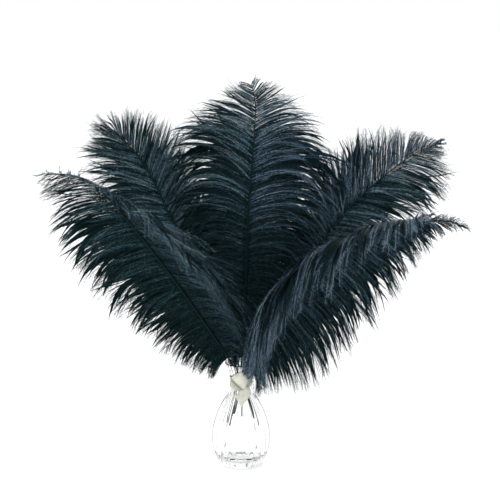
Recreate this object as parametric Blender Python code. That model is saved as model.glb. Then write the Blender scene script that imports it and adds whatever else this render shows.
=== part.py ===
# Five ostrich plumes standing in a small ribbed glass vase, with a ribbon knotted round its neck.
# Metres, Z up. The origin is the middle of the vase's foot and -Y faces the viewer.
import bpy
import bmesh
import math
import numpy as np
from mathutils import Vector

MM = 0.001
MERGE_DISTANCE = 0.002 * MM

# ---- colours, as red, green and blue ----
GLASS_COLOR = (0.95, 0.97, 0.97)
RIBBON_COLOR = (0.86, 0.82, 0.72)
PLUME_COLOR = (0.012, 0.020, 0.026)

# ---- vase ----
VASE_HEIGHT = 123.4 * MM
VASE_RIBS = 20
VASE_WALL = 2.0 * MM
VASE_FLOOR = 9.0 * MM
VASE_FLOOR_RADIUS = 21.5 * MM
RIB_SHARE = 0.012
SHARP_ANGLE = 35.0
# radius and height down the outer side, from the rim to the foot, in millimetres
VASE_OUTLINE = [
    (18.4, 122.8), (15.9, 118.0), (13.0, 110.0), (11.4, 102.0), (11.8, 95.0),
    (15.2, 86.0), (20.9, 76.0), (26.3, 65.0), (30.6, 52.0), (33.1, 39.0),
    (32.6, 22.0), (28.2, 7.5), (23.4, 1.6), (19.5, 0.0),
]

# ---- ribbon ----
RIBBON_THICK = 1.2 * MM
BAND_HEIGHTS = [95.5, 99.0, 102.5, 106.0]
BAND_STAND_OFF = 0.9 * MM
BAND_SIDES = 28
KNOT_SIZE = (19.0 * MM, 8.0 * MM, 17.0 * MM)
KNOT_PLACE = (-2.5 * MM, -17.2 * MM, 102.5 * MM)
KNOT_TURN = 12.0
KNOT_ROUNDING = 2.6 * MM
TAIL_WIDTH = 12.0 * MM
# middle line of the hanging tail: x, y, z in millimetres
TAIL_LINE = [(0.0, -17.0, 97.0), (1.5, -19.5, 89.0), (1.0, -24.5, 80.0), (-1.0, -28.5, 73.0)]

# ---- feathers ----
QUILL_RADIUS = 1.3 * MM
TIP_RADIUS = 0.8 * MM
VANE_THICK = 1.2 * MM
LOCKS = 23
LOCK_ROWS = [0.0, 0.22, 0.46, 0.74]
CURVE_STEPS = 40
LINE_STEPS = 200
SHAFT_RINGS = 20
BARB_STEPS = 24
# a barb is stiff where it leaves the shaft and bends more towards its end
BEND_AT_SHAFT = 0.35
BEND_GAIN = 1.3
TABLE_STEPS = 101
TABLE_SMOOTHING = 9

# Each plume: the route of its shaft from the cut end up to the tip, in millimetres; the
# direction that its left-to-right width faces at the base and at the tip; where its vane
# starts, as a part of the shaft's length; and the vane's two sides. A side's rows are the place
# along the vane, the barb's angle from the shaft, its length in millimetres, how much it
# droops, and how far it leans back, where less than zero leans towards the viewer.
PLUMES = {
    "feather_center": {
        "route": [
            (-3.0, 4.0, 55.0), (-1.0, 6.8, 91.0), (1.0, 9.5, 127.0), (2.5, 12.0, 158.0),
            (6.0, 22.0, 228.0), (9.5, 30.0, 309.0), (15.0, 32.0, 378.0), (16.5, 30.0, 423.0),
            (12.0, 26.0, 441.0),
        ],
        "across": [(1.0, 0.0, 0.0), (1.0, 0.0, 0.0)],
        "vane": 0.24,
        "left": [
            (0.0, 90, 22, 1.2, 0), (0.17, 75, 54, 1.6, 0), (0.45, 62, 98, 2.1, 0),
            (0.68, 53, 120, 2.0, 0), (0.80, 59, 79, 1.0, 0), (0.94, 52, 33, 0.4, 0),
            (1.0, 16, 8, 0.0, 0),
        ],
        "right": [
            (0.0, 90, 22, 1.2, 0), (0.17, 78, 50, 1.6, 0), (0.45, 64, 110, 2.0, 0),
            (0.65, 56, 126, 2.1, 0), (0.80, 53, 83, 1.5, 0), (0.93, 55, 34, 0.5, 0),
            (1.0, 16, 8, 0.0, 0),
        ],
    },
    "feather_back_left": {
        "route": [
            (20.5, -17.0, 52.0), (7.3, -3.5, 89.5), (-6.0, 10.0, 127.0), (-18.5, 22.5, 162.0),
            (-55.0, 40.0, 232.0), (-89.0, 50.0, 299.0), (-111.5, 52.0, 346.0),
            (-133.0, 45.0, 375.0), (-143.5, 38.0, 387.0),
        ],
        "across": [(0.8, 0.0, 0.5), (0.8, 0.0, 0.5)],
        "vane": 0.28,
        "left": [
            (0.0, 82, 26, 1.1, 0), (0.32, 66, 60, 1.4, 0), (0.63, 47, 93, 1.2, 0),
            (0.76, 39, 87, 0.8, 0), (0.86, 33, 66, 0.1, 0), (0.95, 27, 42, 0.0, 0),
            (1.0, 24, 25, 0.0, 0),
        ],
        "right": [
            (0.0, 82, 26, 0.4, 0), (0.42, 66, 63, 0.2, 0), (0.64, 48, 74, 0.3, 0),
            (0.76, 43, 68, 0.4, 0), (0.89, 46, 47, 0.1, 0), (0.95, 38, 36, 0.0, 0),
            (1.0, 22, 25, 0.0, 0),
        ],
    },
    "feather_back_right": {
        "route": [
            (-12.5, -23.0, 54.0), (-2.0, -7.5, 90.5), (8.5, 8.0, 127.0), (22.5, 24.0, 162.0),
            (69.0, 46.0, 217.0), (123.0, 62.0, 289.0), (170.0, 70.0, 332.0),
            (211.0, 72.0, 361.0), (234.5, 68.0, 370.0),
        ],
        "across": [(0.7, 0.0, -0.7), (0.7, 0.0, -0.7)],
        "vane": 0.28,
        "left": [
            (0.0, 66, 26, 0.6, 0), (0.28, 52, 58, 0.9, 0), (0.58, 48, 88, 1.3, 0),
            (0.74, 49, 61, 0.9, 0), (0.84, 50, 38, 1.2, 0), (0.95, 46, 15, 0.8, 0),
            (1.0, 12, 9, 0.2, 0),
        ],
        "right": [
            (0.0, 86, 26, 0.6, 0), (0.28, 71, 48, 0.8, 0), (0.55, 53, 71, 1.0, 0),
            (0.70, 46, 91, 0.9, 0), (0.81, 48, 81, 0.6, 0), (0.92, 46, 28, 0.1, 0),
            (1.0, 12, 6, 0.0, 0),
        ],
    },
    "feather_front_left": {
        "route": [
            (20.5, 18.0, 50.0), (4.2, 4.5, 88.5), (-12.0, -9.0, 127.0), (-59.0, -45.0, 212.5),
            (-87.0, -62.0, 258.0), (-113.5, -78.0, 298.0), (-136.0, -90.0, 329.0),
            (-155.0, -98.0, 349.0), (-171.5, -103.0, 357.0), (-202.0, -108.0, 359.5),
        ],
        "across": [(0.8, 0.1, 0.5), (0.5, -0.1, 0.8)],
        "vane": 0.225,
        "left": [
            (0.0, 98, 33, 0.9, -8), (0.13, 86, 48, 0.9, -4), (0.25, 68, 62, 1.0, 0),
            (0.50, 60, 84, 1.2, 0), (0.68, 49, 81, 1.5, 0), (0.83, 44, 59, 0.7, 0),
            (0.91, 36, 36, 0.2, 0), (1.0, 22, 12, 0.0, 0),
        ],
        "right": [
            (0.0, 75, 18, 2.0, 0), (0.17, 54, 74, 3.8, -18), (0.43, 56, 118, 4.8, -33),
            (0.66, 62, 114, 4.6, -42), (0.80, 46, 50, 3.6, -41), (0.90, 24, 28, 1.5, -25),
            (1.0, 14, 10, 0.0, 0),
        ],
    },
    "feather_front_right": {
        "route": [
            (-24.5, 13.5, 46.0), (-8.5, 0.2, 86.5), (7.5, -13.0, 127.0), (28.5, -26.0, 165.0),
            (68.5, -53.0, 225.0), (108.0, -75.0, 264.5), (133.0, -87.0, 283.0),
            (162.0, -99.0, 299.5), (194.0, -112.0, 309.0), (215.5, -119.0, 309.5),
            (232.5, -123.0, 304.5),
        ],
        "across": [(0.8, -0.1, -0.5), (0.6, 0.1, -0.7)],
        "vane": 0.225,
        "left": [
            (0.0, 75, 22, 2.5, -60), (0.13, 50, 84, 4.6, -60), (0.36, 50, 122, 5.0, -52),
            (0.55, 70, 112, 5.0, -43), (0.70, 80, 84, 4.3, -46), (0.84, 60, 45, 2.2, -38),
            (0.92, 36, 28, 1.2, -22), (1.0, 14, 8, 0.0, 0),
        ],
        "right": [
            (0.0, 118, 42, 2.2, -38), (0.15, 114, 80, 1.6, -28), (0.35, 112, 90, 0.6, -18),
            (0.52, 95, 86, 0.3, -7), (0.65, 77, 66, 0.6, -1), (0.80, 60, 34, 1.0, 1),
            (0.93, 26, 17, 0.1, 0), (1.0, 14, 10, 0.0, 0),
        ],
    },
}


def clear_scene():
    for item in list(bpy.data.objects):
        bpy.data.objects.remove(item, do_unlink=True)


def make_material(name, color, roughness, transmission=0.0):
    material = bpy.data.materials.new(name)
    material.use_nodes = True
    shader = material.node_tree.nodes["Principled BSDF"]
    shader.inputs["Base Color"].default_value = (*color, 1.0)
    shader.inputs["Roughness"].default_value = roughness
    shader.inputs["Metallic"].default_value = 0.0
    shader.inputs["Transmission Weight"].default_value = transmission
    return material


def add_object(name, mesh, material):
    item = bpy.data.objects.new(name, mesh)
    bpy.context.scene.collection.objects.link(item)
    item.data.materials.clear()
    item.data.materials.append(material)
    return item


def evaluated_copy(item):
    bpy.context.view_layer.update()
    graph = bpy.context.evaluated_depsgraph_get()
    return bpy.data.meshes.new_from_object(item.evaluated_get(graph))


def unite(first, second, name, material):
    # the two shapes become one body, and their own objects go
    union = first.modifiers.new("union", "BOOLEAN")
    union.operation = "UNION"
    union.solver = "EXACT"
    union.use_self = False
    union.object = second
    mesh = evaluated_copy(first)
    bpy.data.objects.remove(first, do_unlink=True)
    bpy.data.objects.remove(second, do_unlink=True)
    shape = bmesh.new()
    shape.from_mesh(mesh)
    bmesh.ops.remove_doubles(shape, verts=shape.verts, dist=MERGE_DISTANCE)
    bmesh.ops.triangulate(shape, faces=shape.faces)
    bmesh.ops.recalc_face_normals(shape, faces=shape.faces)
    shape.to_mesh(mesh)
    shape.free()
    mesh.name = name
    return add_object(name, mesh, material)


# ---- vase ----

def outline_radius(height):
    heights = [point[1] * MM for point in reversed(VASE_OUTLINE)]
    radii = [point[0] * MM for point in reversed(VASE_OUTLINE)]
    return float(np.interp(height, heights, radii))


def vase_profile():
    # up the outer side, over the rim and down the inner side to the thick floor
    outer = [(radius * MM, height * MM) for radius, height in reversed(VASE_OUTLINE)]
    inner = [(radius - VASE_WALL, height) for radius, height in reversed(outer) if height > VASE_FLOOR]
    crest = [(outer[-1][0] - VASE_WALL / 2, VASE_HEIGHT)]
    floor_edge = [(VASE_FLOOR_RADIUS, VASE_FLOOR)]
    return [Vector((radius, 0.0, height)) for radius, height in outer + crest + inner + floor_edge]


def raise_ribs(shape):
    # the outer side swells and dips by turns, most on the belly and least at the neck
    for point in shape.verts:
        radius = math.hypot(point.co.x, point.co.y)
        if radius > outline_radius(point.co.z) - VASE_WALL / 4:
            turn = round(math.atan2(point.co.y, point.co.x) / math.pi * VASE_RIBS)
            scale = 1.0 + RIB_SHARE if turn % 2 == 0 else 1.0 - RIB_SHARE
            point.co.x *= scale
            point.co.y *= scale


def build_vase(material):
    profile = vase_profile()
    shape = bmesh.new()
    points = [shape.verts.new(point) for point in profile]
    edges = [shape.edges.new(pair) for pair in zip(points, points[1:])]
    bmesh.ops.spin(
        shape, geom=points + edges, cent=(0, 0, 0), axis=(0, 0, 1), dvec=(0, 0, 0),
        angle=math.tau, steps=2 * VASE_RIBS, use_merge=True)
    open_edges = [edge for edge in shape.edges if edge.is_boundary]
    bmesh.ops.holes_fill(shape, edges=open_edges, sides=0)
    raise_ribs(shape)
    bmesh.ops.recalc_face_normals(shape, faces=shape.faces)
    mesh = bpy.data.meshes.new("vase")
    shape.to_mesh(mesh)
    shape.free()
    mesh.shade_smooth()
    mesh.set_sharp_from_angle(angle=math.radians(SHARP_ANGLE))
    return add_object("vase", mesh, material)


# ---- ribbon ----

def ribbon_band(material):
    # a strip wrapped once round the neck, a little off the glass
    inner = []
    outer = []
    for height in BAND_HEIGHTS:
        radius = outline_radius(height * MM) + BAND_STAND_OFF
        inner.append(Vector((radius, 0.0, height * MM)))
        outer.append(Vector((radius + RIBBON_THICK, 0.0, height * MM)))
    profile = outer + list(reversed(inner))
    shape = bmesh.new()
    points = [shape.verts.new(point) for point in profile]
    edges = [shape.edges.new((points[i - 1], points[i])) for i in range(len(points))]
    bmesh.ops.spin(
        shape, geom=points + edges, cent=(0, 0, 0), axis=(0, 0, 1), dvec=(0, 0, 0),
        angle=math.tau, steps=BAND_SIDES, use_merge=True)
    bmesh.ops.recalc_face_normals(shape, faces=shape.faces)
    mesh = bpy.data.meshes.new("band")
    shape.to_mesh(mesh)
    shape.free()
    return add_object("band", mesh, material)


def ribbon_knot(material):
    shape = bmesh.new()
    bmesh.ops.create_cube(shape, size=1.0)
    bmesh.ops.scale(shape, verts=shape.verts, vec=KNOT_SIZE)
    bmesh.ops.bevel(
        shape, geom=shape.edges[:], offset=KNOT_ROUNDING, segments=1, profile=0.5,
        affect="EDGES", material=-1)
    mesh = bpy.data.meshes.new("knot")
    shape.to_mesh(mesh)
    shape.free()
    knot = add_object("knot", mesh, material)
    knot.location = KNOT_PLACE
    knot.rotation_euler = (0.0, math.radians(KNOT_TURN), 0.0)
    return knot


def ribbon_tail(material):
    # a flat strip that hangs from the knot over the shoulder of the vase
    shape = bmesh.new()
    pairs = []
    for x, y, z in TAIL_LINE:
        left = shape.verts.new((x * MM - TAIL_WIDTH / 2, y * MM, z * MM))
        right = shape.verts.new((x * MM + TAIL_WIDTH / 2, y * MM, z * MM))
        pairs.append((left, right))
    for upper, lower in zip(pairs, pairs[1:]):
        shape.faces.new((upper[0], upper[1], lower[1], lower[0]))
    mesh = bpy.data.meshes.new("tail")
    shape.to_mesh(mesh)
    shape.free()
    tail = add_object("tail", mesh, material)
    thick = tail.modifiers.new("thick", "SOLIDIFY")
    thick.thickness = RIBBON_THICK
    thick.offset = 0.0
    return tail


def build_ribbon(material):
    tied = unite(ribbon_band(material), ribbon_knot(material), "tied", material)
    return unite(tied, ribbon_tail(material), "ribbon", material)


# ---- feathers ----

def unit(vectors):
    return vectors / np.linalg.norm(vectors, axis=-1, keepdims=True)


def mix(values, knots, time, index, span):
    share = (time - knots[index]) / (knots[index + span] - knots[index])
    return values[index] * (1 - share) + values[index + 1] * share


def smooth_line(route):
    # centripetal Catmull-Rom curve through the route, read off at even steps of its length
    points = np.array(route, float) * MM
    points = np.vstack([2 * points[0] - points[1], points, 2 * points[-1] - points[-2]])
    pieces = []
    for index in range(1, len(points) - 2):
        around = points[index - 1:index + 3]
        spans = np.linalg.norm(np.diff(around, axis=0), axis=1)
        knots = np.cumsum([0.0, *np.sqrt(spans)])
        time = np.linspace(knots[1], knots[2], CURVE_STEPS, endpoint=False)[:, None]
        first = [mix(around, knots, time, i, 1) for i in range(3)]
        second = [mix(first, knots, time, i, 2) for i in range(2)]
        share = (time - knots[1]) / (knots[2] - knots[1])
        pieces.append(second[0] * (1 - share) + second[1] * share)
    dense = np.vstack(pieces + [points[-2][None]])
    along = np.cumsum([0.0] + list(np.linalg.norm(np.diff(dense, axis=0), axis=1)))
    steps = np.linspace(0.0, along[-1], LINE_STEPS)
    return np.stack([np.interp(steps, along, dense[:, axis]) for axis in range(3)], -1)


def smooth_table(rows, place, column):
    # a rounded reading of a column between the rows of a table
    even = np.linspace(0.0, 1.0, TABLE_STEPS)
    table = np.array(rows, float)
    values = np.interp(even, table[:, 0], table[:, column])
    padded = np.pad(values, TABLE_SMOOTHING // 2, "edge")
    weights = np.ones(TABLE_SMOOTHING) / TABLE_SMOOTHING
    return np.interp(place, even, np.convolve(padded, weights, "valid"))


def shaft_frames(plume):
    line = smooth_line(plume["route"])
    tangent = unit(np.gradient(line, axis=0))
    share = np.linspace(0.0, 1.0, LINE_STEPS)[:, None]
    start, end = [np.array(value, float) for value in plume["across"]]
    hint = unit(start * (1 - share) + end * share)
    across = unit(hint - np.sum(hint * tangent, -1, keepdims=True) * tangent)
    return line, tangent, across, np.cross(tangent, across)


def read_at(values, place):
    even = np.linspace(0.0, 1.0, LINE_STEPS)
    return np.stack([np.interp(place, even, values[:, axis]) for axis in range(3)], -1)


def barb_paths(plume, frames, side, places):
    # each barb leaves the shaft at its own angle and bends down under its weight
    rows = plume["left"] if side < 0 else plume["right"]
    station = plume["vane"] + (1 - plume["vane"]) * places
    point, tangent, across, normal = [read_at(values, station) for values in frames]
    angle = np.radians(smooth_table(rows, places, 1))[:, None]
    length = smooth_table(rows, places, 2)[:, None] * MM
    droop = smooth_table(rows, places, 3)[:, None]
    lean = np.radians(smooth_table(rows, places, 4))[:, None]
    sideways = side * unit(across) * np.cos(lean) + unit(normal) * np.sin(lean)
    heading = unit(tangent) * np.cos(angle) + sideways * np.sin(angle)
    down = np.array([0.0, 0.0, -1.0])
    path = [point]
    for step in range(BARB_STEPS):
        along = (step + 0.5) / BARB_STEPS
        path.append(path[-1] + heading * length / BARB_STEPS)
        bend = droop * (BEND_AT_SHAFT + BEND_GAIN * along)
        heading = unit(heading + down * bend / BARB_STEPS)
    return np.stack(path, 1)


def path_point(path, share):
    exact = share * BARB_STEPS
    low = min(int(exact), BARB_STEPS - 1)
    return path[low] + (path[low + 1] - path[low]) * (exact - low)


def vane_side(shape, stems, plume, frames, side):
    # one side of the vane: a sheet along the shaft whose outer edge is a row of pointed locks
    edges_at = np.linspace(0.0, 1.0, LOCKS + 1)
    borders = barb_paths(plume, frames, side, edges_at)
    middles = barb_paths(plume, frames, side, (edges_at[1:] + edges_at[:-1]) / 2)
    rows = [stems]
    for share in LOCK_ROWS[1:]:
        rows.append([shape.verts.new(path_point(path, share)) for path in borders])
    for inner, outer in zip(rows, rows[1:]):
        for index in range(LOCKS):
            corners = [inner[index], inner[index + 1], outer[index + 1], outer[index]]
            shape.faces.new(corners if side > 0 else corners[::-1])
    for index in range(LOCKS):
        tip = shape.verts.new(middles[index][-1])
        corners = [rows[-1][index], rows[-1][index + 1], tip]
        shape.faces.new(corners if side > 0 else corners[::-1])


def build_vane(plume, frames, material):
    shape = bmesh.new()
    station = np.linspace(plume["vane"], 1.0, LOCKS + 1)
    stems = [shape.verts.new(point) for point in read_at(frames[0], station)]
    vane_side(shape, stems, plume, frames, -1)
    vane_side(shape, stems, plume, frames, 1)
    mesh = bpy.data.meshes.new("vane")
    shape.to_mesh(mesh)
    shape.free()
    vane = add_object("vane", mesh, material)
    thick = vane.modifiers.new("thick", "SOLIDIFY")
    thick.thickness = VANE_THICK
    thick.offset = 0.0
    return vane


def build_shaft(frames, material):
    # the quill and shaft: a round rod that tapers to the tip
    curve = bpy.data.curves.new("shaft", "CURVE")
    curve.dimensions = "3D"
    curve.bevel_depth = QUILL_RADIUS
    curve.bevel_resolution = 1
    curve.use_fill_caps = True
    spline = curve.splines.new("POLY")
    spline.points.add(SHAFT_RINGS - 1)
    for index, share in enumerate(np.linspace(0.0, 1.0, SHAFT_RINGS)):
        place = read_at(frames[0], np.array([share]))[0]
        spline.points[index].co = (*place, 1.0)
        spline.points[index].radius = 1.0 + (TIP_RADIUS / QUILL_RADIUS - 1.0) * share
    rod = bpy.data.objects.new("rod", curve)
    bpy.context.scene.collection.objects.link(rod)
    mesh = evaluated_copy(rod)
    bpy.data.objects.remove(rod, do_unlink=True)
    return add_object("shaft", mesh, material)


def build_feather(name, plume, material):
    frames = shaft_frames(plume)
    vane = build_vane(plume, frames, material)
    shaft = build_shaft(frames, material)
    return unite(vane, shaft, name, material)


def main():
    clear_scene()
    glass = make_material("clear_glass", GLASS_COLOR, roughness=0.03, transmission=1.0)
    satin = make_material("cream_ribbon", RIBBON_COLOR, roughness=0.5)
    black = make_material("black_plume", PLUME_COLOR, roughness=0.6)
    build_vase(glass)
    build_ribbon(satin)
    for name, plume in PLUMES.items():
        build_feather(name, plume, black)


main()
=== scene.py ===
import bpy
import bmesh
import math
import numpy as np
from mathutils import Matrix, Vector


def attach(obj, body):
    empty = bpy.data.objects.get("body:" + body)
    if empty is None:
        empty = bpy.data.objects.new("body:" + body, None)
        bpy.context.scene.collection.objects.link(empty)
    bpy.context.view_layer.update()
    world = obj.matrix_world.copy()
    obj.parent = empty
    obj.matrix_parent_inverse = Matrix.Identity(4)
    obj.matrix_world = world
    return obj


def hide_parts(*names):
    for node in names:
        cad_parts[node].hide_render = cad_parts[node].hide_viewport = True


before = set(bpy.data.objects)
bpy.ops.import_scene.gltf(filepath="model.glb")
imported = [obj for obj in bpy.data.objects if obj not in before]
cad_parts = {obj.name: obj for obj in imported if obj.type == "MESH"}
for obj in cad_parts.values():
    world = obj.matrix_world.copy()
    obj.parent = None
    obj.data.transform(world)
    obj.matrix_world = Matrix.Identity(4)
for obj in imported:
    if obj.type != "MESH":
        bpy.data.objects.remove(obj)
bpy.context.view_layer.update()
mm = 0.001
colorA, colorB, colorOut = 6, 7, 2  # colour sockets of a mix node

# camera: looks a little down on the bunch from the front
cameraLook = {
    "target": (0.0106, 0.0, 0.2562), "distance": 1.30, "elevation": 12.0,
    "lens": 82.4, "sensor": 36.0, "clipEnd": 100.0,
}

# a white world, a key light from the front left and a back light; the floor glows to stay white
lightLook = {
    "worldStrength": 1.0, "lightTarget": (0.0, 0.0, 0.25),
    "keyPower": 22.0, "keySize": 1.2, "keyPlace": (-0.9, -1.3, 1.9),
    "backPower": 18.0, "backSize": 1.6, "backPlace": (0.5, 1.5, 1.6),
    "floorSize": 40.0, "floorDrop": 0.3 * mm, "floorColor": (0.75, 0.75, 0.75),
    "floorRoughness": 0.9, "floorGlow": 0.4,
}


def addCamera(look):
    tilt = math.radians(look["elevation"])
    back = Vector((0.0, -math.cos(tilt), math.sin(tilt)))
    cameraData = bpy.data.cameras.new("camera")
    cameraData.lens = look["lens"]
    cameraData.sensor_width = look["sensor"]
    cameraData.clip_end = look["clipEnd"]
    camera = bpy.data.objects.new("camera", cameraData)
    camera.location = Vector(look["target"]) + back * look["distance"]
    camera.rotation_euler = (-back).to_track_quat("-Z", "Y").to_euler()
    bpy.context.scene.collection.objects.link(camera)
    bpy.context.scene.camera = camera


def addAreaLight(name, power, size, place, target):
    lamp = bpy.data.lights.new(name, "AREA")
    lamp.energy = power
    lamp.size = size
    light = bpy.data.objects.new(name, lamp)
    light.location = place
    light.rotation_euler = (Vector(target) - Vector(place)).to_track_quat("-Z", "Y").to_euler()
    bpy.context.scene.collection.objects.link(light)


def addStage(look):
    world = bpy.data.worlds.new("studio")
    bpy.context.scene.world = world
    world.use_nodes = True
    sky = world.node_tree.nodes["Background"]
    sky.inputs["Color"].default_value = (1.0, 1.0, 1.0, 1.0)
    sky.inputs["Strength"].default_value = look["worldStrength"]
    for lamp in ("key", "back"):
        addAreaLight(
            lamp + "_light", look[lamp + "Power"], look[lamp + "Size"], look[lamp + "Place"],
            look["lightTarget"])
    bm = bmesh.new()
    bmesh.ops.create_grid(bm, x_segments=1, y_segments=1, size=look["floorSize"] / 2)
    bmesh.ops.translate(bm, verts=bm.verts, vec=(0.0, 0.0, -look["floorDrop"]))
    floor = meshObject("floor", bm)
    paint = newMaterial("floorPaint")
    shader = paint.node_tree.nodes["Principled BSDF"]
    shader.inputs["Base Color"].default_value = (*look["floorColor"], 1.0)
    shader.inputs["Roughness"].default_value = look["floorRoughness"]
    shader.inputs["Specular IOR Level"].default_value = 0.0
    shader.inputs["Emission Color"].default_value = (1.0, 1.0, 1.0, 1.0)
    shader.inputs["Emission Strength"].default_value = look["floorGlow"]
    floor.data.materials.append(paint)
    bpy.context.scene.view_settings.view_transform = "Standard"


def newMaterial(name):
    material = bpy.data.materials.new(name)
    material.use_nodes = True
    return material


def colorMix(nodes):
    node = nodes.new("ShaderNodeMix")
    node.data_type = "RGBA"
    return node


def meshObject(name, bm):
    mesh = bpy.data.meshes.new(name)
    bm.to_mesh(mesh)
    bm.free()
    item = bpy.data.objects.new(name, mesh)
    bpy.context.scene.collection.objects.link(item)
    return item


def unit(vectors):
    return vectors / np.linalg.norm(vectors, axis=-1, keepdims=True)


def mix(values, knots, time, index, span):
    share = (time - knots[index]) / (knots[index + span] - knots[index])
    return values[index] * (1 - share) + values[index + 1] * share


def smoothLine(route, count, perSpan=40):
    # centripetal Catmull-Rom curve, read off at even steps of its length
    points = np.array(route, float)
    points = np.vstack([2 * points[0] - points[1], points, 2 * points[-1] - points[-2]])
    pieces = []
    for index in range(1, len(points) - 2):
        around = points[index - 1:index + 3]
        spans = np.linalg.norm(np.diff(around, axis=0), axis=1)
        knots = np.cumsum([0.0, *np.sqrt(spans)])
        time = np.linspace(knots[1], knots[2], perSpan, endpoint=False)[:, None]
        first = [mix(around, knots, time, i, 1) for i in range(3)]
        second = [mix(first, knots, time, i, 2) for i in range(2)]
        share = (time - knots[1]) / (knots[2] - knots[1])
        pieces.append(second[0] * (1 - share) + second[1] * share)
    dense = np.vstack(pieces + [points[-2][None]])
    along = np.cumsum([0.0, *np.linalg.norm(np.diff(dense, axis=0), axis=1)])
    steps = np.linspace(0.0, along[-1], count)
    return np.stack([np.interp(steps, along, dense[:, axis]) for axis in range(dense.shape[1])], -1)


def readAt(values, place):
    even = np.linspace(0.0, 1.0, len(values))
    return np.stack([np.interp(place, even, values[:, axis]) for axis in range(3)], -1)


def readRows(rows, place):
    return np.interp(place, *np.array(rows, float).T)


def readTable(rows, place, column, steps=101, width=9):
    # one column of a plume's rows, with its corners rounded off
    even = np.linspace(0.0, 1.0, steps)
    table = np.array(rows, float)
    values = np.pad(np.interp(even, table[:, 0], table[:, column]), width // 2, "edge")
    return np.interp(place, even, np.convolve(values, np.ones(width) / width, "valid"))


# vase, in mm; its lines are radius and height: "outline" from the rim down to the foot, "foot" the
# hollow under it and "inside" the floor of the belly
vaseLook = {
    "outline": [
        (18.4, 122.8), (15.9, 118.0), (13.0, 110.0), (11.4, 102.0), (11.8, 95.0),
        (15.2, 86.0), (20.9, 76.0), (26.3, 65.0), (30.6, 52.0), (33.1, 39.0),
        (32.6, 22.0), (28.2, 7.5), (23.4, 1.6), (19.5, 0.0),
    ],
    "height": 123.4, "wall": 2.0, "rimRound": 0.15, "rimDrop": 0.1,
    "ribs": 20, "ribShare": 0.028, "stepsPerRib": 8,
    "rows": 90, "footRows": 12, "insideRows": 24, "insideFrom": 15.5, "mergeWithin": 0.001,
    "sharpAngle": 50.0,
    "foot": [(16.0, 0.1), (12.0, 0.6), (6.0, 1.0), (0.0, 1.1)],
    "inside": [(25.6, 12.6), (21.0, 9.6), (12.0, 8.6), (0.0, 8.6)],
    "tint": (0.995, 1.0, 1.0), "ior": 1.45, "roughness": 0.0,
}


def glassMaterial(look):
    material = newMaterial("ribbedGlass")
    shader = material.node_tree.nodes["Principled BSDF"]
    shader.inputs["Base Color"].default_value = (*look["tint"], 1.0)
    shader.inputs["Roughness"].default_value = look["roughness"]
    shader.inputs["IOR"].default_value = look["ior"]
    shader.inputs["Transmission Weight"].default_value = 1.0
    return material


def buildVase(look):
    outline = smoothLine(look["outline"], look["rows"])
    wall = look["wall"]
    outer = outline[::-1]
    inner = [(r - wall, z) for r, z in outline if z > look["insideFrom"]]
    rim = outer[-1][0]
    crestHeight = look["height"] - look["rimDrop"]
    crest = [(rim - wall * look["rimRound"], crestHeight), (rim - wall / 2, look["height"]),
             (rim - wall * (1 - look["rimRound"]), crestHeight)]
    inside = smoothLine([inner[-1], *look["inside"]], look["insideRows"])[1:]
    foot = smoothLine([*look["foot"][::-1], outer[0]], look["footRows"])[:-1]
    profile = [*foot, *outer, *crest, *inner, *inside]
    bm = bmesh.new()
    points = [bm.verts.new((max(r, 0.0) * mm, 0.0, z * mm)) for r, z in profile]
    edges = [bm.edges.new(pair) for pair in zip(points, points[1:])]
    bmesh.ops.spin(
        bm, geom=points + edges, cent=(0, 0, 0), axis=(0, 0, 1), dvec=(0, 0, 0),
        angle=math.tau, steps=look["ribs"] * look["stepsPerRib"], use_merge=True)
    bmesh.ops.remove_doubles(bm, verts=bm.verts, dist=look["mergeWithin"] * mm)
    radii, heights = outer.T
    for point in bm.verts:
        # only the outside is ribbed
        radius = math.hypot(point.co.x, point.co.y)
        if radius > (np.interp(point.co.z / mm, heights, radii) - wall / 4) * mm:
            turn = math.atan2(point.co.y, point.co.x) * look["ribs"]
            point.co.xy = point.co.xy * (1.0 + look["ribShare"] * math.cos(turn))
    bmesh.ops.recalc_face_normals(bm, faces=bm.faces)
    vase = meshObject("ribbed_vase", bm)
    vase.data.shade_smooth()
    vase.data.set_sharp_from_angle(angle=math.radians(look["sharpAngle"]))
    vase.data.materials.append(glassMaterial(look))
    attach(vase, "root")
    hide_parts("vase")


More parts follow.
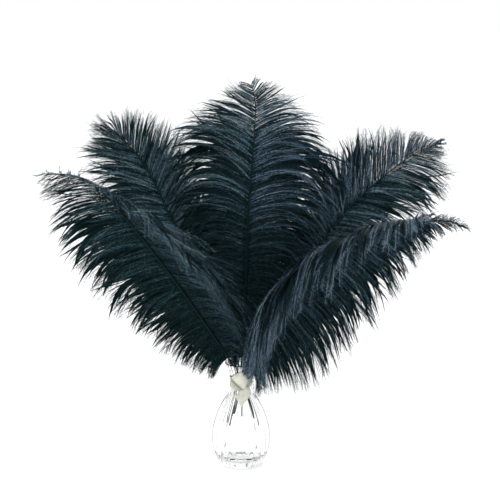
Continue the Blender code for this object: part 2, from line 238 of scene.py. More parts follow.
# ribbon, in mm; each fold is a row of lines over the knot, from where it comes out to where it
# goes under
ribbonLook = {
    "thick": 0.35, "bandRadius": 1.1, "bandFrom": 96.5, "bandTo": 106.5,
    "bandGap": 8.0, "bandDrift": 0.7, "bandPhase": 0.6, "bandRipple": 0.35, "bandFolds": 1.5,
    "over": [
        [(-10.6, -15.5, 106.5), (-7.0, -17.2, 103.6), (-3.2, -17.8, 100.6), (0.2, -17.0, 97.6)],
        [(-12.0, -16.0, 109.0), (-7.4, -19.6, 105.4), (-3.0, -20.8, 101.6), (1.2, -19.2, 96.2)],
        [(-8.4, -17.5, 112.4), (-3.6, -21.2, 109.0), (1.4, -22.0, 104.2), (5.4, -18.6, 97.8)],
        [(-3.6, -18.2, 115.4), (0.6, -21.0, 112.4), (4.4, -21.0, 108.2), (6.8, -17.8, 102.6)],
        [(1.0, -17.6, 118.0), (3.2, -19.2, 115.8), (5.4, -19.0, 113.2), (7.2, -16.6, 110.2)],
        [(1.6, -15.9, 115.6), (3.6, -15.8, 113.4), (5.4, -15.0, 111.0), (6.8, -13.8, 108.5)],
    ],
    "under": [
        [(-9.6, -13.6, 109.0), (-5.0, -15.0, 105.4), (-0.6, -14.6, 101.6), (2.6, -13.4, 98.0)],
        [(-11.6, -14.8, 105.4), (-7.2, -17.0, 101.8), (-2.6, -17.0, 98.2), (1.2, -15.6, 95.0)],
        [(-12.8, -14.0, 102.0), (-8.4, -18.0, 98.9), (-4.4, -18.2, 96.3), (-1.2, -16.6, 94.2)],
        [(-12.6, -13.6, 98.4), (-9.4, -16.6, 96.6), (-6.4, -17.2, 95.0), (-3.6, -16.4, 93.8)],
        [(-10.8, -12.0, 97.6), (-8.0, -14.0, 96.6), (-5.6, -14.8, 96.0), (-3.4, -14.8, 95.4)],
    ],
    "tail": [
        [(1.6, -16.0, 100.0), (5.4, -16.4, 100.4), (9.0, -15.0, 100.6)],
        [(0.8, -17.6, 96.4), (6.2, -18.6, 95.6), (10.8, -17.2, 95.8)],
        [(-2.4, -20.4, 93.2), (4.0, -21.8, 91.0), (11.0, -20.0, 90.4)],
        [(-4.6, -22.4, 91.4), (0.8, -24.8, 87.2), (6.0, -25.0, 84.0)],
        [(-6.2, -24.0, 89.8), (-3.0, -26.4, 84.2), (0.2, -28.2, 78.0)],
    ],
    # painted shade along each piece's rows, 0 for the full fold shade colour "depth" and 1 for none:
    # dark where the knot's pieces tuck under, the under face kept darker throughout and the band a
    # little darker all round
    "overLight": [(0.0, 0.0), (0.14, 0.1), (0.24, 1.0)],
    "underLight": [(0.0, 0.0), (0.22, 0.1), (0.36, 0.62), (1.0, 0.7)],
    "tailLight": [(0.0, 0.5), (0.25, 0.95)], "bandLight": 0.8,
    "cut": (0.014, 0.14),
    # "depth" is the colour of the painted shade in the folds and on the under face
    "color": (0.68, 0.68, 0.60), "shade": (0.56, 0.57, 0.49), "depth": (0.16, 0.17, 0.10),
    "mottle": 260.0, "mottleRange": (0.35, 0.65),
    "threads": 900.0, "weave": 0.12, "weaveDepth": 0.05,
    "roughness": 0.42, "specular": 0.35, "sheen": 0.15,
}


def satinMaterial(look):
    # mottled cream with a fine slanting weave, with painted shade mixed in at the folds and on the
    # under face
    material = newMaterial("creamSatin")
    nodes, links = material.node_tree.nodes, material.node_tree.links
    shader = nodes["Principled BSDF"]
    place = nodes.new("ShaderNodeTexCoord")
    cloud = nodes.new("ShaderNodeTexNoise")
    cloud.inputs["Scale"].default_value = look["mottle"]
    ramp = nodes.new("ShaderNodeValToRGB")
    for stop, name, position in zip(ramp.color_ramp.elements, ("shade", "color"), look["mottleRange"]):
        stop.position = position
        stop.color = (*look[name], 1.0)
    threads = nodes.new("ShaderNodeTexWave")
    threads.bands_direction = "DIAGONAL"
    threads.inputs["Scale"].default_value = look["threads"]
    bump = nodes.new("ShaderNodeBump")
    bump.inputs["Strength"].default_value = look["weave"]
    bump.inputs["Distance"].default_value = look["weaveDepth"] * mm
    links.new(place.outputs["Object"], cloud.inputs["Vector"])
    links.new(place.outputs["Object"], threads.inputs["Vector"])
    links.new(cloud.outputs["Fac"], ramp.inputs["Fac"])
    # painted shade: the mesh's shade value mixes the cloth towards the "depth" colour
    paintedShade = nodes.new("ShaderNodeAttribute")
    paintedShade.attribute_name = "paintedShade"
    shadeMix = colorMix(nodes)
    shadeMix.inputs[colorA].default_value = (*look["depth"], 1.0)
    links.new(paintedShade.outputs["Fac"], shadeMix.inputs["Factor"])
    links.new(ramp.outputs["Color"], shadeMix.inputs[colorB])
    links.new(shadeMix.outputs[colorOut], shader.inputs["Base Color"])
    links.new(threads.outputs["Fac"], bump.inputs["Height"])
    links.new(bump.outputs["Normal"], shader.inputs["Normal"])
    shader.inputs["Roughness"].default_value = look["roughness"]
    shader.inputs["Specular IOR Level"].default_value = look["specular"]
    shader.inputs["Sheen Weight"].default_value = look["sheen"]
    return material


def clothPatch(bm, rows, light, across=14, along=20):
    # a grid laid smoothly over rows of points, with painted shade where it runs into a fold
    paintedShade = bm.verts.layers.float["paintedShade"]
    lines = [smoothLine(row, across + 1) for row in rows]
    columns = [smoothLine([line[i] for line in lines], along + 1) for i in range(across + 1)]
    grid = bmesh.ops.create_grid(bm, x_segments=across, y_segments=along, size=1.0)
    for point in grid["verts"]:
        column = round((point.co.x + 1) / 2 * across)
        row = round((point.co.y + 1) / 2 * along)
        point.co = Vector(columns[column][row]) * mm
        point[paintedShade] = readRows(light, row / along)


def neckBand(bm, look, outline, around=72, rows=5):
    # the strip that runs round the neck, from one side of the knot to the other
    radii, heights = np.array(outline[::-1]).T
    gap = look["bandGap"]
    paintedShade = bm.verts.layers.float["paintedShade"]
    grid = bmesh.ops.create_grid(bm, x_segments=around, y_segments=rows, size=1.0)
    for point in grid["verts"]:
        # painted shade, a little darker all round the band
        point[paintedShade] = look["bandLight"]
        turn = math.radians(gap - 90 + (point.co.x + 1) / 2 * (360 - 2 * gap))
        share = (point.co.y + 1) / 2
        height = look["bandFrom"] + (look["bandTo"] - look["bandFrom"]) * share
        height += look["bandDrift"] * math.sin(turn * 2 + look["bandPhase"])
        radius = np.interp(height, heights, radii) + look["bandRadius"]
        radius += look["bandRipple"] * math.sin(share * math.tau * look["bandFolds"] + turn)
        point.co = Vector((radius * math.cos(turn), radius * math.sin(turn), height)) * mm


def buildRibbon(look, outline):
    bm = bmesh.new()
    bm.verts.layers.float.new("paintedShade")
    neckBand(bm, look, outline)
    for part in ("over", "under", "tail"):
        clothPatch(bm, look[part], look[part + "Light"])
    ribbon = meshObject("satin_ribbon", bm)
    ribbon.data.shade_smooth()
    thick = ribbon.modifiers.new("thick", "SOLIDIFY")
    thick.thickness = look["thick"] * mm
    thick.offset = 0.0
    ribbon.data.materials.append(satinMaterial(look))
    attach(ribbon, "root")
    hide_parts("ribbon")


# what all plumes share; lengths in mm, angles in degrees
plumeLook = {
    "seed": 7,
    # barbs: how many a side, a little closer together towards the base, and their width
    "barbsPerSide": 560, "barbSteps": 10, "rootJitter": (0.1, 0.9), "crowding": 0.78,
    "barbWidth": 0.5, "barbTipWidth": 0.12, "bendAtShaft": 0.35, "bendGain": 1.3,
    # neighbours cling together as strands, and strands as locks
    "barbsPerStrand": (1, 3), "strandsPerLock": (1, 3),
    "strandPull": 0.25, "strandPower": 1.0, "lockPull": 0.03, "lockPower": 2.0,
    # what differs from barb to barb: angle, lean, length, droop and waves
    "lockTurn": 0.8, "strandTurn": 3.2, "ownTurn": 4.5,
    "lockTip": 2.0, "strandTip": 4.0, "ownTip": 3.0, "tipLimit": 7.5,
    "strandStretch": (0.84, 1.1), "ownStretch": (0.8, 1.04), "strandSag": 0.5,
    "wave": 3.4, "ownWave": 3.6, "waveTurns": (5.0, 12.0),
    # barbules, the fine hairs on a barb; short barbs have short ones
    "barbules": 132, "barbuleFrom": 0.05, "barbuleWidth": 0.34, "barbuleTipWidth": 0.16,
    "barbuleLength": 4.4, "barbuleTipLength": 4.0, "barbuleStretch": (0.55, 1.1),
    "shortShare": 0.25, "leastShare": 0.3, "fullAt": 50.0, "fluff": [(0.0, 1.0)],
    "barbuleAngle": 40.0, "barbuleTipAngle": 50.0, "angleSpread": (0.7, 1.3), "barbuleSpread": 45.0,
    # the sheets under the barbs: how wide from the shaft to the tips, at a thin and a full edge
    "thinSheet": [(0.0, 1.05), (0.5, 1.0), (0.85, 0.1), (1.0, 0.0)],
    "fullSheet": [(0.0, 1.05), (0.55, 1.0), (0.8, 0.3), (1.0, 0.0)],
    # the sheets keep only a small share of their barbs' tone: painted shade under the barbs
    "sheetShade": 0.07, "sheetNavy": 0.5,
    # shaft
    "quillRadius": 1.3, "shaftTipRadius": 0.45, "shaftTaper": 0.7, "shaftRings": 60,
    "shaftLift": 1.5, "liftOver": 0.1,
    # colour: how far single barbs light up, and painted shade next to the shaft that lifts towards
    # their tips
    "strandTone": 0.8, "ownTone": 0.55, "tonePower": 3, "toneLimit": 1.6, "fleck": 0.28,
    "along": [(0.0, 0.4), (0.08, 0.8), (0.2, 1.0)],
    "dark": (0.0015, 0.0055, 0.0045), "teal": (0.062, 0.135, 0.155), "navy": (0.082, 0.122, 0.21),
    "pale": (0.22, 0.31, 0.35),
    "specks": 550.0, "speckFrom": (0.35, 0.65), "speckTo": (0.15, 0.85),
    "roughness": 0.5, "specular": 0.06, "specularTint": (0.3, 0.8, 1.0),
}

quillLook = {
    "color": (0.002, 0.004, 0.004),
    "roughness": 0.4, "specular": 0.2, "specularTint": (0.3, 0.8, 0.9),
}

# each plume: "route" of the shaft in mm, from the quill's cut end to the tip; "across", the ways
# that its width faces, evenly from base to tip; "vane", the share of the shaft where the barbs
# start. A side's rows are place along the vane, angle to the shaft, length in mm, droop and lean
# to the back. Its look, along the vane: "closed", until where its sheets are whole and where they
# end; "edge", how full they stay to the barbs' tips; "tones", how light, partly the barbs' own tone
# and partly painted light and shade, darker deep in the bunch and lighter where light falls; and
# "navy", how blue. Its "along" is how light from the shaft to the barbs' tips, a painted shade next
# to the shaft. "fluff" is how long the hairs are, as a share of the full length.
plumes = {
    "feather_center": {
        "route": [
            (-3.0, 4.0, 55.0), (-1.0, 6.8, 91.0), (1.0, 9.5, 127.0), (2.5, 12.0, 158.0),
            (6.0, 22.0, 228.0), (9.5, 30.0, 309.0), (15.0, 32.0, 378.0), (16.5, 30.0, 423.0),
            (12.0, 26.0, 441.0),
        ],
        "across": [(1.0, 0.0, 0.0), (1.0, 0.0, 0.0)],
        "vane": 0.20,
        "leftLook": {
            "closed": (0.76, 1.15), "edge": [(0.3, 0.9), (0.6, 0.45), (0.74, 0.1)],
            "tones": [(0.0, 0.15), (0.35, 0.35), (0.55, 1.0), (0.75, 2.2)],
            "navy": [(0.0, 0.0), (0.5, 0.3)],
        },
        "rightLook": {
            "closed": (0.76, 1.15), "edge": [(0.3, 0.9), (0.6, 0.45), (0.74, 0.1)],
            "tones": [(0.0, 0.1), (0.35, 0.25), (0.6, 2.3), (0.8, 2.8)],
            "navy": [(0.0, 0.0), (0.4, 0.3), (0.65, 0.9), (0.9, 0.4)],
        },
        "left": [
            (0.0, 172, 30, 0.1, 0), (0.06, 125, 34, 1.0, -20), (0.21, 75, 54, 1.6, 0),
            (0.48, 62, 98, 2.1, 0), (0.70, 53, 120, 2.0, 0), (0.81, 59, 79, 1.0, 0),
            (0.94, 52, 33, 0.4, 0), (1.0, 40, 9, 0.2, 0),
        ],
        "right": [
            (0.0, 172, 30, 0.1, 0), (0.06, 125, 34, 1.0, -20), (0.21, 78, 50, 1.6, 0),
            (0.48, 64, 110, 2.0, 0), (0.67, 56, 126, 2.1, 0), (0.81, 53, 83, 1.5, 0),
            (0.93, 55, 34, 0.5, 0), (1.0, 40, 9, 0.2, 0),
        ],
    },
    "feather_back_left": {
        "route": [
            (20.5, -17.0, 52.0), (7.3, -3.5, 89.5), (-6.0, 10.0, 127.0), (-18.5, 22.5, 162.0),
            (-55.0, 40.0, 232.0), (-89.0, 50.0, 299.0), (-111.5, 52.0, 346.0),
            (-133.0, 45.0, 375.0), (-143.5, 38.0, 387.0),
        ],
        "across": [(0.8, 0.0, 0.5), (0.8, 0.0, 0.5)],
        "vane": 0.28,
        "leftLook": {
            "closed": (0.85, 1.25), "edge": [(0.0, 0.15), (0.8, 0.5)],
            "tones": [(0.0, 0.4), (0.4, 1.8)], "navy": [(0.0, 0.2)],
        },
        "rightLook": {
            "closed": (0.8, 1.2), "edge": [(0.0, 0.3), (0.8, 0.5)],
            "tones": [(0.0, 0.4), (0.4, 1.8)], "navy": [(0.0, 0.2)],
        },
        "left": [
            (0.0, 122, 40, 1.6, 0), (0.32, 66, 60, 1.4, 0), (0.63, 47, 93, 1.2, 0),
            (0.76, 39, 87, 0.8, 0), (0.86, 33, 66, 0.1, 0), (0.95, 26, 42, 0.0, 0),
            (1.0, 6, 30, 0.0, 0),
        ],
        "right": [
            (0.0, 82, 26, 0.4, 0), (0.42, 66, 63, 0.2, 0), (0.64, 48, 74, 0.3, 0),
            (0.76, 43, 68, 0.4, 0), (0.89, 46, 47, 0.1, 0), (0.95, 34, 36, 0.0, 0),
            (1.0, 4, 30, 0.0, 0),
        ],
    },
    "feather_back_right": {
        "route": [
            (-12.5, -23.0, 54.0), (-2.0, -7.5, 90.5), (8.5, 8.0, 127.0), (22.5, 24.0, 162.0),
            (69.0, 46.0, 217.0), (123.0, 62.0, 289.0), (170.0, 70.0, 332.0),
            (211.0, 72.0, 361.0), (234.5, 68.0, 370.0),
        ],
        "across": [(0.7, 0.0, -0.7), (0.7, 0.0, -0.7)],
        "vane": 0.28,
        "leftLook": {
            "closed": (0.58, 1.05), "edge": [(0.0, 0.3)],
            "tones": [(0.0, 0.5), (0.3, 1.7)], "navy": [(0.0, 0.6)],
        },
        "rightLook": {
            "closed": (0.72, 1.0), "edge": [(0.0, 0.15)],
            "tones": [(0.0, 0.4), (0.4, 1.8)], "navy": [(0.0, 0.2)],
        },
        "left": [
            (0.0, 66, 26, 0.6, 0), (0.28, 52, 58, 0.9, -5), (0.58, 48, 88, 1.3, -10),
            (0.74, 49, 61, 0.9, -10), (0.84, 50, 38, 1.2, -8), (0.95, 46, 15, 0.8, 0),
            (1.0, 12, 9, 0.2, 0),
        ],
        "right": [
            (0.0, 112, 40, 1.6, 0), (0.28, 71, 48, 0.8, 0), (0.55, 53, 71, 1.0, -3),
            (0.70, 46, 91, 0.9, -6), (0.81, 48, 81, 0.6, -7), (0.92, 46, 28, 0.1, -4),
            (1.0, 12, 6, 0.0, 0),
        ],
    },
    "feather_front_left": {
        "route": [
            (20.5, 18.0, 50.0), (4.2, 4.5, 88.5), (-12.0, -9.0, 127.0), (-59.0, -45.0, 212.5),
            (-87.0, -62.0, 258.0), (-113.5, -78.0, 298.0), (-136.0, -90.0, 329.0),
            (-155.0, -98.0, 349.0), (-171.5, -103.0, 357.0), (-202.0, -108.0, 359.5),
        ],
        "across": [(0.9, -0.1, 0.2), (0.95, 0.0, 0.2), (1.0, 0.0, 0.3), (0.5, -0.1, 0.8)],
        "vane": 0.225, "fluff": [(0.65, 1.0), (0.85, 0.4)],
        "leftLook": {
            "closed": (0.66, 0.95), "edge": [(0.3, 0.4), (0.6, 0.1)],
            "tones": [(0.0, 0.15), (0.25, 0.35), (0.5, 0.75), (0.75, 1.1), (0.92, 0.5)],
            "navy": [(0.0, 0.0), (0.6, 0.15)],
        },
        "rightLook": {
            "closed": (0.7, 0.95), "edge": [(0.0, 0.8)],
            "tones": [(0.0, 0.6), (0.3, 1.1), (0.6, 2.2)], "navy": [(0.0, 0.3), (0.6, 0.45)],
            "along": [(0.0, 0.2), (0.25, 0.45), (0.5, 1.1), (0.8, 1.3)],
        },
        "left": [
            (0.0, 112, 32, 1.0, -14), (0.13, 88, 58, 1.3, -4), (0.25, 74, 72, 1.4, 0),
            (0.50, 62, 92, 1.4, 0), (0.68, 52, 86, 1.5, 0), (0.83, 44, 60, 0.8, 0),
            (0.91, 36, 36, 0.2, 0), (1.0, 22, 12, 0.0, 0),
        ],
        "right": [
            (0.0, 75, 18, 2.0, 0), (0.15, 86, 54, 2.1, -5), (0.28, 98, 82, 1.8, -14),
            (0.42, 106, 94, 1.7, -21), (0.60, 108, 92, 1.7, -24), (0.74, 108, 56, 2.0, -30),
            (0.82, 108, 18, 2.8, -40), (0.90, 80, 5, 3.0, -60), (1.0, 20, 5, 0.4, 0),
        ],
    },
    "feather_front_right": {
        "route": [
            (-24.5, 13.5, 46.0), (-8.5, 0.2, 86.5), (7.5, -13.0, 127.0), (28.5, -26.0, 165.0),
            (68.5, -53.0, 225.0), (108.0, -75.0, 264.5), (133.0, -87.0, 283.0),
            (162.0, -99.0, 300.5), (194.0, -112.0, 311.0), (215.5, -119.0, 312.0),
            (232.5, -123.0, 306.0),
        ],
        "across": [(0.9, 0.1, -0.2), (0.95, 0.0, -0.2), (1.0, 0.0, -0.25), (0.6, 0.1, -0.75)],
        "vane": 0.225, "fluff": [(0.75, 1.0), (0.95, 0.4)],
        "leftLook": {
            "closed": (0.75, 0.95), "edge": [(0.0, 0.8)],
            "tones": [(0.0, 1.5), (0.3, 2.1), (0.7, 2.1)], "navy": [(0.0, 0.7), (0.5, 0.9)],
            "along": [(0.0, 0.5), (0.3, 1.0), (0.7, 1.2)],
        },
        "rightLook": {
            "closed": (0.85, 1.0), "edge": [(0.15, 0.3), (0.4, 0.7), (0.7, 0.2)],
            "tones": [(0.0, 0.4), (0.3, 0.9), (0.7, 1.1)], "navy": [(0.0, 0.1), (0.6, 0.4)],
        },
        "left": [
            (0.0, 70, 20, 3.0, -60), (0.06, 58, 56, 4.0, -60), (0.13, 54, 88, 4.6, -57),
            (0.30, 70, 120, 4.3, -42), (0.42, 84, 130, 3.8, -34), (0.55, 88, 122, 3.6, -30),
            (0.70, 84, 80, 3.4, -28), (0.84, 56, 32, 2.4, -22), (0.92, 32, 20, 1.2, -12),
            (1.0, 14, 8, 0.0, 0),
        ],
        "right": [
            (0.0, 132, 46, 1.5, -34), (0.08, 114, 62, 1.8, -18), (0.15, 102, 90, 1.8, -10),
            (0.35, 90, 97, 1.7, -5), (0.52, 76, 89, 1.6, 0), (0.65, 66, 66, 1.6, 0),
            (0.80, 54, 38, 1.2, 0), (0.93, 28, 19, 0.2, 0), (1.0, 14, 10, 0.0, 0),
        ],
    },
}


def setGloss(shader, look):
    shader.inputs["Roughness"].default_value = look["roughness"]
    shader.inputs["Specular IOR Level"].default_value = look["specular"]
    shader.inputs["Specular Tint"].default_value = (*look["specularTint"], 1.0)


def plumeMaterial(look):
    # near black, with pale teal or navy where the light catches a barb
    material = newMaterial("plumeBlack")
    nodes, links = material.node_tree.nodes, material.node_tree.links
    shader = nodes["Principled BSDF"]
    tone = nodes.new("ShaderNodeAttribute")
    tone.attribute_name = "tone"
    navy = nodes.new("ShaderNodeAttribute")
    navy.attribute_name = "navy"
    pair = colorMix(nodes)
    links.new(navy.outputs["Fac"], pair.inputs["Factor"])
    place = nodes.new("ShaderNodeTexCoord")
    specks = nodes.new("ShaderNodeTexNoise")
    specks.inputs["Scale"].default_value = look["specks"]
    spread = nodes.new("ShaderNodeMapRange")
    for name, ends in (("From", look["speckFrom"]), ("To", look["speckTo"])):
        spread.inputs[name + " Min"].default_value = ends[0]
        spread.inputs[name + " Max"].default_value = ends[1]
    strength = nodes.new("ShaderNodeMath")
    strength.operation = "MULTIPLY"
    links.new(place.outputs["Object"], specks.inputs["Vector"])
    links.new(specks.outputs["Fac"], spread.inputs["Value"])
    links.new(tone.outputs["Fac"], strength.inputs[0])
    links.new(spread.outputs["Result"], strength.inputs[1])
    for name, socket in (("teal", colorA), ("navy", colorB)):
        ramp = nodes.new("ShaderNodeValToRGB")
        ramp.color_ramp.elements[0].color = (*look["dark"], 1.0)
        ramp.color_ramp.elements[1].color = (*look["pale"], 1.0)
        ramp.color_ramp.elements.new(0.5).color = (*look[name], 1.0)
        links.new(strength.outputs["Value"], ramp.inputs["Fac"])
        links.new(ramp.outputs["Color"], pair.inputs[socket])
    links.new(pair.outputs[colorOut], shader.inputs["Base Color"])
    setGloss(shader, look)
    return material


def quillMaterial(look):
    material = newMaterial("quillHorn")
    shader = material.node_tree.nodes["Principled BSDF"]
    shader.inputs["Base Color"].default_value = (*look["color"], 1.0)
    setGloss(shader, look)
    return material


def shaftFrames(plume, steps=200):
    line = smoothLine(plume["route"], steps) * mm
    tangent = unit(np.gradient(line, axis=0))
    share = np.linspace(0.0, 1.0, steps)
    hint = unit(readAt(np.array(plume["across"], float), share))
    across = unit(hint - np.sum(hint * tangent, -1, keepdims=True) * tangent)
    return line, tangent, across, np.cross(tangent, across)


def bendBarbs(plume, frames, side, places, look, turn, stretch, sag, tip):
    # each barb leaves the shaft at its own angle and bends down under its weight
    rows = plume["left"] if side < 0 else plume["right"]
    station = plume["vane"] + (1 - plume["vane"]) * places
    point, tangent, across, normal = [readAt(values, station) for values in frames]
    angle = np.radians(readTable(rows, places, 1) + turn)[:, None]
    length = (readTable(rows, places, 2) * stretch)[:, None] * mm
    droop = (readTable(rows, places, 3) + sag)[:, None]
    lean = np.radians(readTable(rows, places, 4) + tip)[:, None]
    sideways = side * unit(across) * np.cos(lean) + unit(normal) * np.sin(lean)
    heading = unit(tangent) * np.cos(angle) + sideways * np.sin(angle)
    flat = unit(np.cross(heading, np.cross(sideways, unit(tangent))))
    down = np.array([0.0, 0.0, -1.0])
    steps = look["barbSteps"]
    path = [point]
    for step in range(steps):
        along = (step + 0.5) / steps
        path.append(path[-1] + heading * length / steps)
        bend = droop * (look["bendAtShaft"] + look["bendGain"] * along)
        heading = unit(heading + down * bend / steps)
    return np.stack(path, 1), flat


def wavy(paths, flat, size, phase, turns):
    # a wave out of the plane of the vane, which grows to the tip
    share = np.linspace(0.0, 1.0, paths.shape[1])
    turn = np.sin(phase[:, None] + share * turns[:, None]) - np.sin(phase[:, None])
    aside = unit(np.cross(flat, paths[:, 1] - paths[:, 0]))
    return paths + aside[:, None, :] * (turn * share * size[:, None] * mm)[..., None]


def groupsOf(count, sizes, rng):
    # numbers neighbours off into groups of uneven size
    members = rng.integers(sizes[0], sizes[1] + 1, count)
    return np.repeat(np.arange(count), members)[:count]


def groupPull(paths, guides, group, pull, power):
    # the barbs of a group draw together towards their guide, more and more to the tip
    share = np.linspace(0.0, 1.0, paths.shape[1])[None, :, None]
    return paths + (guides[group] - paths) * pull * share ** power


def sideOfPlume(plume, frames, side, sideLook, look, rng):
    count = look["barbsPerSide"]
    even = (np.arange(count) + rng.uniform(*look["rootJitter"], count)) / count
    places = 1 - (1 - even) ** look["crowding"]
    strand = groupsOf(count, look["barbsPerStrand"], rng)
    strands = strand[-1] + 1
    lock = groupsOf(strands, look["strandsPerLock"], rng)
    locks = lock[-1] + 1
    strandPlace = np.bincount(strand, places) / np.bincount(strand)
    lockPlace = np.bincount(lock, strandPlace) / np.bincount(lock)
    lockTurn = rng.normal(0, look["lockTurn"], locks)
    lockTip = rng.normal(0, look["lockTip"], locks)
    strandTurn = rng.normal(0, look["strandTurn"], strands) + lockTurn[lock]
    limit = look["tipLimit"]
    strandTip = np.clip(rng.normal(0, look["strandTip"], strands) + lockTip[lock], -limit, limit)
    strandStretch = rng.uniform(*look["strandStretch"], strands)
    strandSag = rng.normal(0, look["strandSag"], strands)
    paths, flat = bendBarbs(
        plume, frames, side, places, look, strandTurn[strand] + rng.normal(0, look["ownTurn"], count),
        strandStretch[strand] * rng.uniform(*look["ownStretch"], count), strandSag[strand],
        np.clip(strandTip[strand] + rng.normal(0, look["ownTip"], count), -limit, limit))
    size = rng.normal(0, look["wave"], strands)
    phase = rng.uniform(0, math.tau, strands)
    turns = rng.uniform(*look["waveTurns"], strands)
    ownSize = size[strand] + rng.normal(0, look["ownWave"], count)
    paths = wavy(paths, flat, ownSize, phase[strand], turns[strand])
    strandGuides, strandFlat = bendBarbs(
        plume, frames, side, strandPlace, look, strandTurn, strandStretch, strandSag, strandTip)
    strandGuides = wavy(strandGuides, strandFlat, size, phase, turns)
    lockGuides, _ = bendBarbs(plume, frames, side, lockPlace, look, lockTurn, 1.0, 0.0, lockTip)
    strandGuides = groupPull(strandGuides, lockGuides, lock, look["lockPull"], look["lockPower"])
    paths = groupPull(paths, strandGuides, strand, look["strandPull"], look["strandPower"])
    # a few barbs catch the light, most stay dark
    tone = look["strandTone"] * rng.random(strands)[strand] ** look["tonePower"]
    tone = tone + look["ownTone"] * rng.random(count) ** look["tonePower"]
    # the barbs' own random tone, times painted light and shade along the vane
    tone = np.clip(tone * readRows(sideLook["tones"], places), 0.0, look["toneLimit"])
    navy = readRows(sideLook["navy"], places)
    fill = np.interp(strandPlace, sideLook["closed"], [1.0, 0.0])
    share = np.linspace(0.0, 1.0, look["barbSteps"] + 1)
    edge = readRows(sideLook["edge"], strandPlace)
    thin = readRows(look["thinSheet"], share)
    full = readRows(look["fullSheet"], share)
    fill = (thin + (full - thin) * edge[:, None]) * fill[:, None]
    # painted shade: the sheets are much darker than the barbs over them
    sheetShade = np.bincount(strand, tone) / np.bincount(strand) * look["sheetShade"]
    fluff = readRows(plume.get("fluff", look["fluff"]), places)
    return paths, flat, tone, navy, fluff, strandGuides, fill, sheetShade


def barbStrips(paths, flat, look):
    # a narrow strip along every barb
    steps = paths.shape[1]
    heading = unit(np.gradient(paths, axis=1))
    sideways = unit(np.cross(heading, np.cross(flat[:, None, :], heading)))
    width = np.linspace(look["barbWidth"], look["barbTipWidth"], steps)[None, :, None] * mm / 2
    left = paths - sideways * width
    right = paths + sideways * width
    points = np.stack([left, right], 2).reshape(-1, 3)
    count = len(paths)
    base = (np.arange(count)[:, None] * steps + np.arange(steps - 1)[None, :]) * 2
    quads = np.stack([base, base + 1, base + 3, base, base + 3, base + 2], -1)
    return points, quads.reshape(-1, 3), heading, sideways


def strandSheets(guides, fill):
    # under the barbs each strand closes the vane towards its neighbours
    count, steps = guides.shape[:2]
    step = np.diff(guides, axis=0)
    before = np.concatenate([step[:1], step]) * fill[..., None] / 2
    after = np.concatenate([step, step[-1:]]) * fill[..., None] / 2
    points = np.stack([guides - before, guides + after], 2).reshape(-1, 3)
    base = (np.arange(count)[:, None] * steps + np.arange(steps - 1)[None, :]) * 2
    quads = np.stack([base, base + 1, base + 3, base, base + 3, base + 2], -1)
    return points, quads.reshape(-1, 3)


def barbuleSpikes(paths, heading, sideways, fluff, look, rng):
    # fine hairs on both sides of every barb, each one thin triangle
    count, steps = paths.shape[:2]
    hairs = look["barbules"]
    place = (np.arange(hairs)[None, :] + rng.random((count, hairs))) / hairs
    place = look["barbuleFrom"] + (1 - look["barbuleFrom"]) * place
    exact = place * (steps - 1)
    low = np.minimum(exact.astype(int), steps - 2)
    part = (exact - low)[..., None]
    row = np.arange(count)[:, None]
    root = paths[row, low] * (1 - part) + paths[row, low + 1] * part
    ahead = heading[row, low] * (1 - part) + heading[row, low + 1] * part
    over = sideways[row, low] * (1 - part) + sideways[row, low + 1] * part
    above = np.cross(ahead, over)
    hand = np.where(np.arange(hairs) % 2 == 0, 1.0, -1.0)[None, :, None]
    roll = np.radians(rng.normal(0, look["barbuleSpread"], (count, hairs)))[..., None]
    out = over * hand * np.cos(roll) + above * np.sin(roll)
    place = place[..., None]
    angle = look["barbuleAngle"] + (look["barbuleTipAngle"] - look["barbuleAngle"]) * place
    angle = np.radians(angle * rng.uniform(*look["angleSpread"], (count, hairs, 1)))
    length = look["barbuleLength"] + (look["barbuleTipLength"] - look["barbuleLength"]) * place
    reach = np.linalg.norm(paths[:, -1] - paths[:, 0], axis=-1)[:, None, None] / mm
    length = length * rng.uniform(*look["barbuleStretch"], (count, hairs, 1))
    grown = np.clip(look["shortShare"] + reach / look["fullAt"], look["leastShare"], 1.0)
    length = length * grown * mm * fluff[:, None, None]
    tip = root + (ahead * np.cos(angle) + out * np.sin(angle)) * length
    half = look["barbuleWidth"] + (look["barbuleTipWidth"] - look["barbuleWidth"]) * place
    half = ahead * half * mm / 2
    points = np.stack([root - half, root + half, tip], 2).reshape(-1, 3)
    return points, np.arange(count * hairs * 3).reshape(-1, 3), place[..., 0]


def arrayMesh(name, points, triangles, values):
    mesh = bpy.data.meshes.new(name)
    mesh.vertices.add(len(points))
    mesh.vertices.foreach_set("co", points.astype(np.float32).ravel())
    mesh.loops.add(triangles.size)
    mesh.loops.foreach_set("vertex_index", triangles.astype(np.int32).ravel())
    mesh.polygons.add(len(triangles))
    mesh.polygons.foreach_set("loop_start", np.arange(len(triangles), dtype=np.int32) * 3)
    mesh.update(calc_edges=True)
    for key, value in values.items():
        attribute = mesh.attributes.new(key, "FLOAT", "POINT")
        attribute.data.foreach_set("value", value.astype(np.float32))
    return mesh


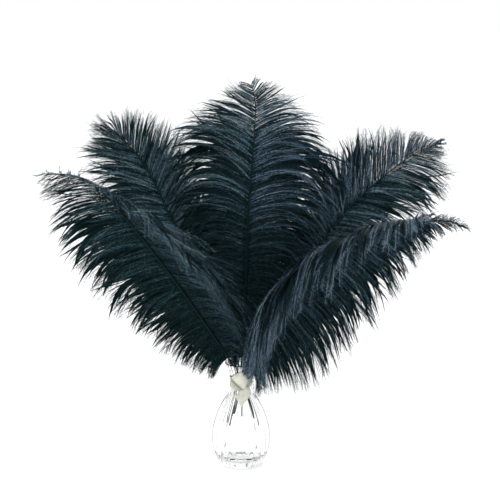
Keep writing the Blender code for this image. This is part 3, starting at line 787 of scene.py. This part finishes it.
def shaftTube(name, frames, vane, look):
    # along the vane it stands out a little in front of the roots of the barbs
    curve = bpy.data.curves.new(name, "CURVE")
    curve.dimensions = "3D"
    curve.bevel_depth = look["quillRadius"] * mm
    curve.bevel_resolution = 2
    curve.use_fill_caps = True
    spline = curve.splines.new("POLY")
    rings = look["shaftRings"]
    spline.points.add(rings - 1)
    taper = look["shaftTipRadius"] / look["quillRadius"]
    for index, share in enumerate(np.linspace(0.0, 1.0, rings)):
        place = readAt(frames[0], np.array([share]))[0]
        lift = np.clip((share - vane) / look["liftOver"], 0.0, 1.0) * look["shaftLift"] * mm
        place = place - readAt(frames[3], np.array([share]))[0] * lift
        spline.points[index].co = (*place, 1.0)
        spline.points[index].radius = taper + (1.0 - taper) * (1.0 - share) ** look["shaftTaper"]
    holder = bpy.data.objects.new(name, curve)
    bpy.context.scene.collection.objects.link(holder)
    bpy.context.view_layer.update()
    mesh = bpy.data.meshes.new_from_object(holder)
    bpy.data.objects.remove(holder, do_unlink=True)
    tube = bpy.data.objects.new(name, mesh)
    bpy.context.scene.collection.objects.link(tube)
    mesh.shade_smooth()
    return tube


def buildPlume(node, plume, look, materials, rng):
    frames = shaftFrames(plume)
    points = []
    triangles = []
    tones = []
    navies = []
    offset = 0
    for side, sideLook in ((-1, plume["leftLook"]), (1, plume["rightLook"])):
        paths, flat, tone, navy, fluff, guides, fill, sheetShade = sideOfPlume(
            plume, frames, side, sideLook, look, rng)
        strips, stripFaces, heading, sideways = barbStrips(paths, flat, look)
        spikes, spikeFaces, places = barbuleSpikes(paths, heading, sideways, fluff, look, rng)
        sheets, sheetFaces = strandSheets(guides, fill)
        perStrip, perSpike = len(strips) // len(tone), len(spikes) // len(tone)
        perSheet = len(sheets) // len(sheetShade)
        along = np.linspace(0.0, 1.0, look["barbSteps"] + 1)
        # painted shade: barbs darker next to the shaft, lighter towards their tips
        shaftShade = sideLook.get("along", look["along"])
        stripTone = tone[:, None] * readRows(shaftShade, along)
        spikeTone = tone[:, None] * readRows(shaftShade, places)
        spikeTone = spikeTone + rng.normal(0, look["fleck"], places.shape)
        tones += [np.repeat(stripTone, 2), np.repeat(spikeTone, 3), np.repeat(sheetShade, perSheet)]
        navies += [np.repeat(navy, perStrip), np.repeat(navy, perSpike)]
        navies.append(np.full(len(sheets), look["sheetNavy"]))
        for part, faces in ((strips, stripFaces), (spikes, spikeFaces), (sheets, sheetFaces)):
            points.append(part)
            triangles.append(faces + offset)
            offset += len(part)
    values = {"tone": np.concatenate(tones), "navy": np.concatenate(navies)}
    mesh = arrayMesh(node + "_barbs", np.vstack(points), np.vstack(triangles), values)
    vane = bpy.data.objects.new(node + "_plume", mesh)
    bpy.context.scene.collection.objects.link(vane)
    mesh.materials.append(materials[0])
    tube = shaftTube(node + "_shaft", frames, plume["vane"], look)
    tube.data.materials.append(materials[1])
    with bpy.context.temp_override(
            active_object=vane, object=vane, selected_objects=[vane, tube],
            selected_editable_objects=[vane, tube]):
        bpy.ops.object.join()
    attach(vane, "root")
    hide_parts(node)
    print(node, len(vane.data.polygons), "faces")


addCamera(cameraLook)
addStage(lightLook)
print("camera and stage made")
buildVase(vaseLook)
print("vase made")
buildRibbon(ribbonLook, vaseLook["outline"])
print("ribbon made")
plumeMaterials = [plumeMaterial(plumeLook), quillMaterial(quillLook)]
numbers = np.random.default_rng(plumeLook["seed"])
for node, plume in plumes.items():
    buildPlume(node, plume, plumeLook, plumeMaterials, numbers)
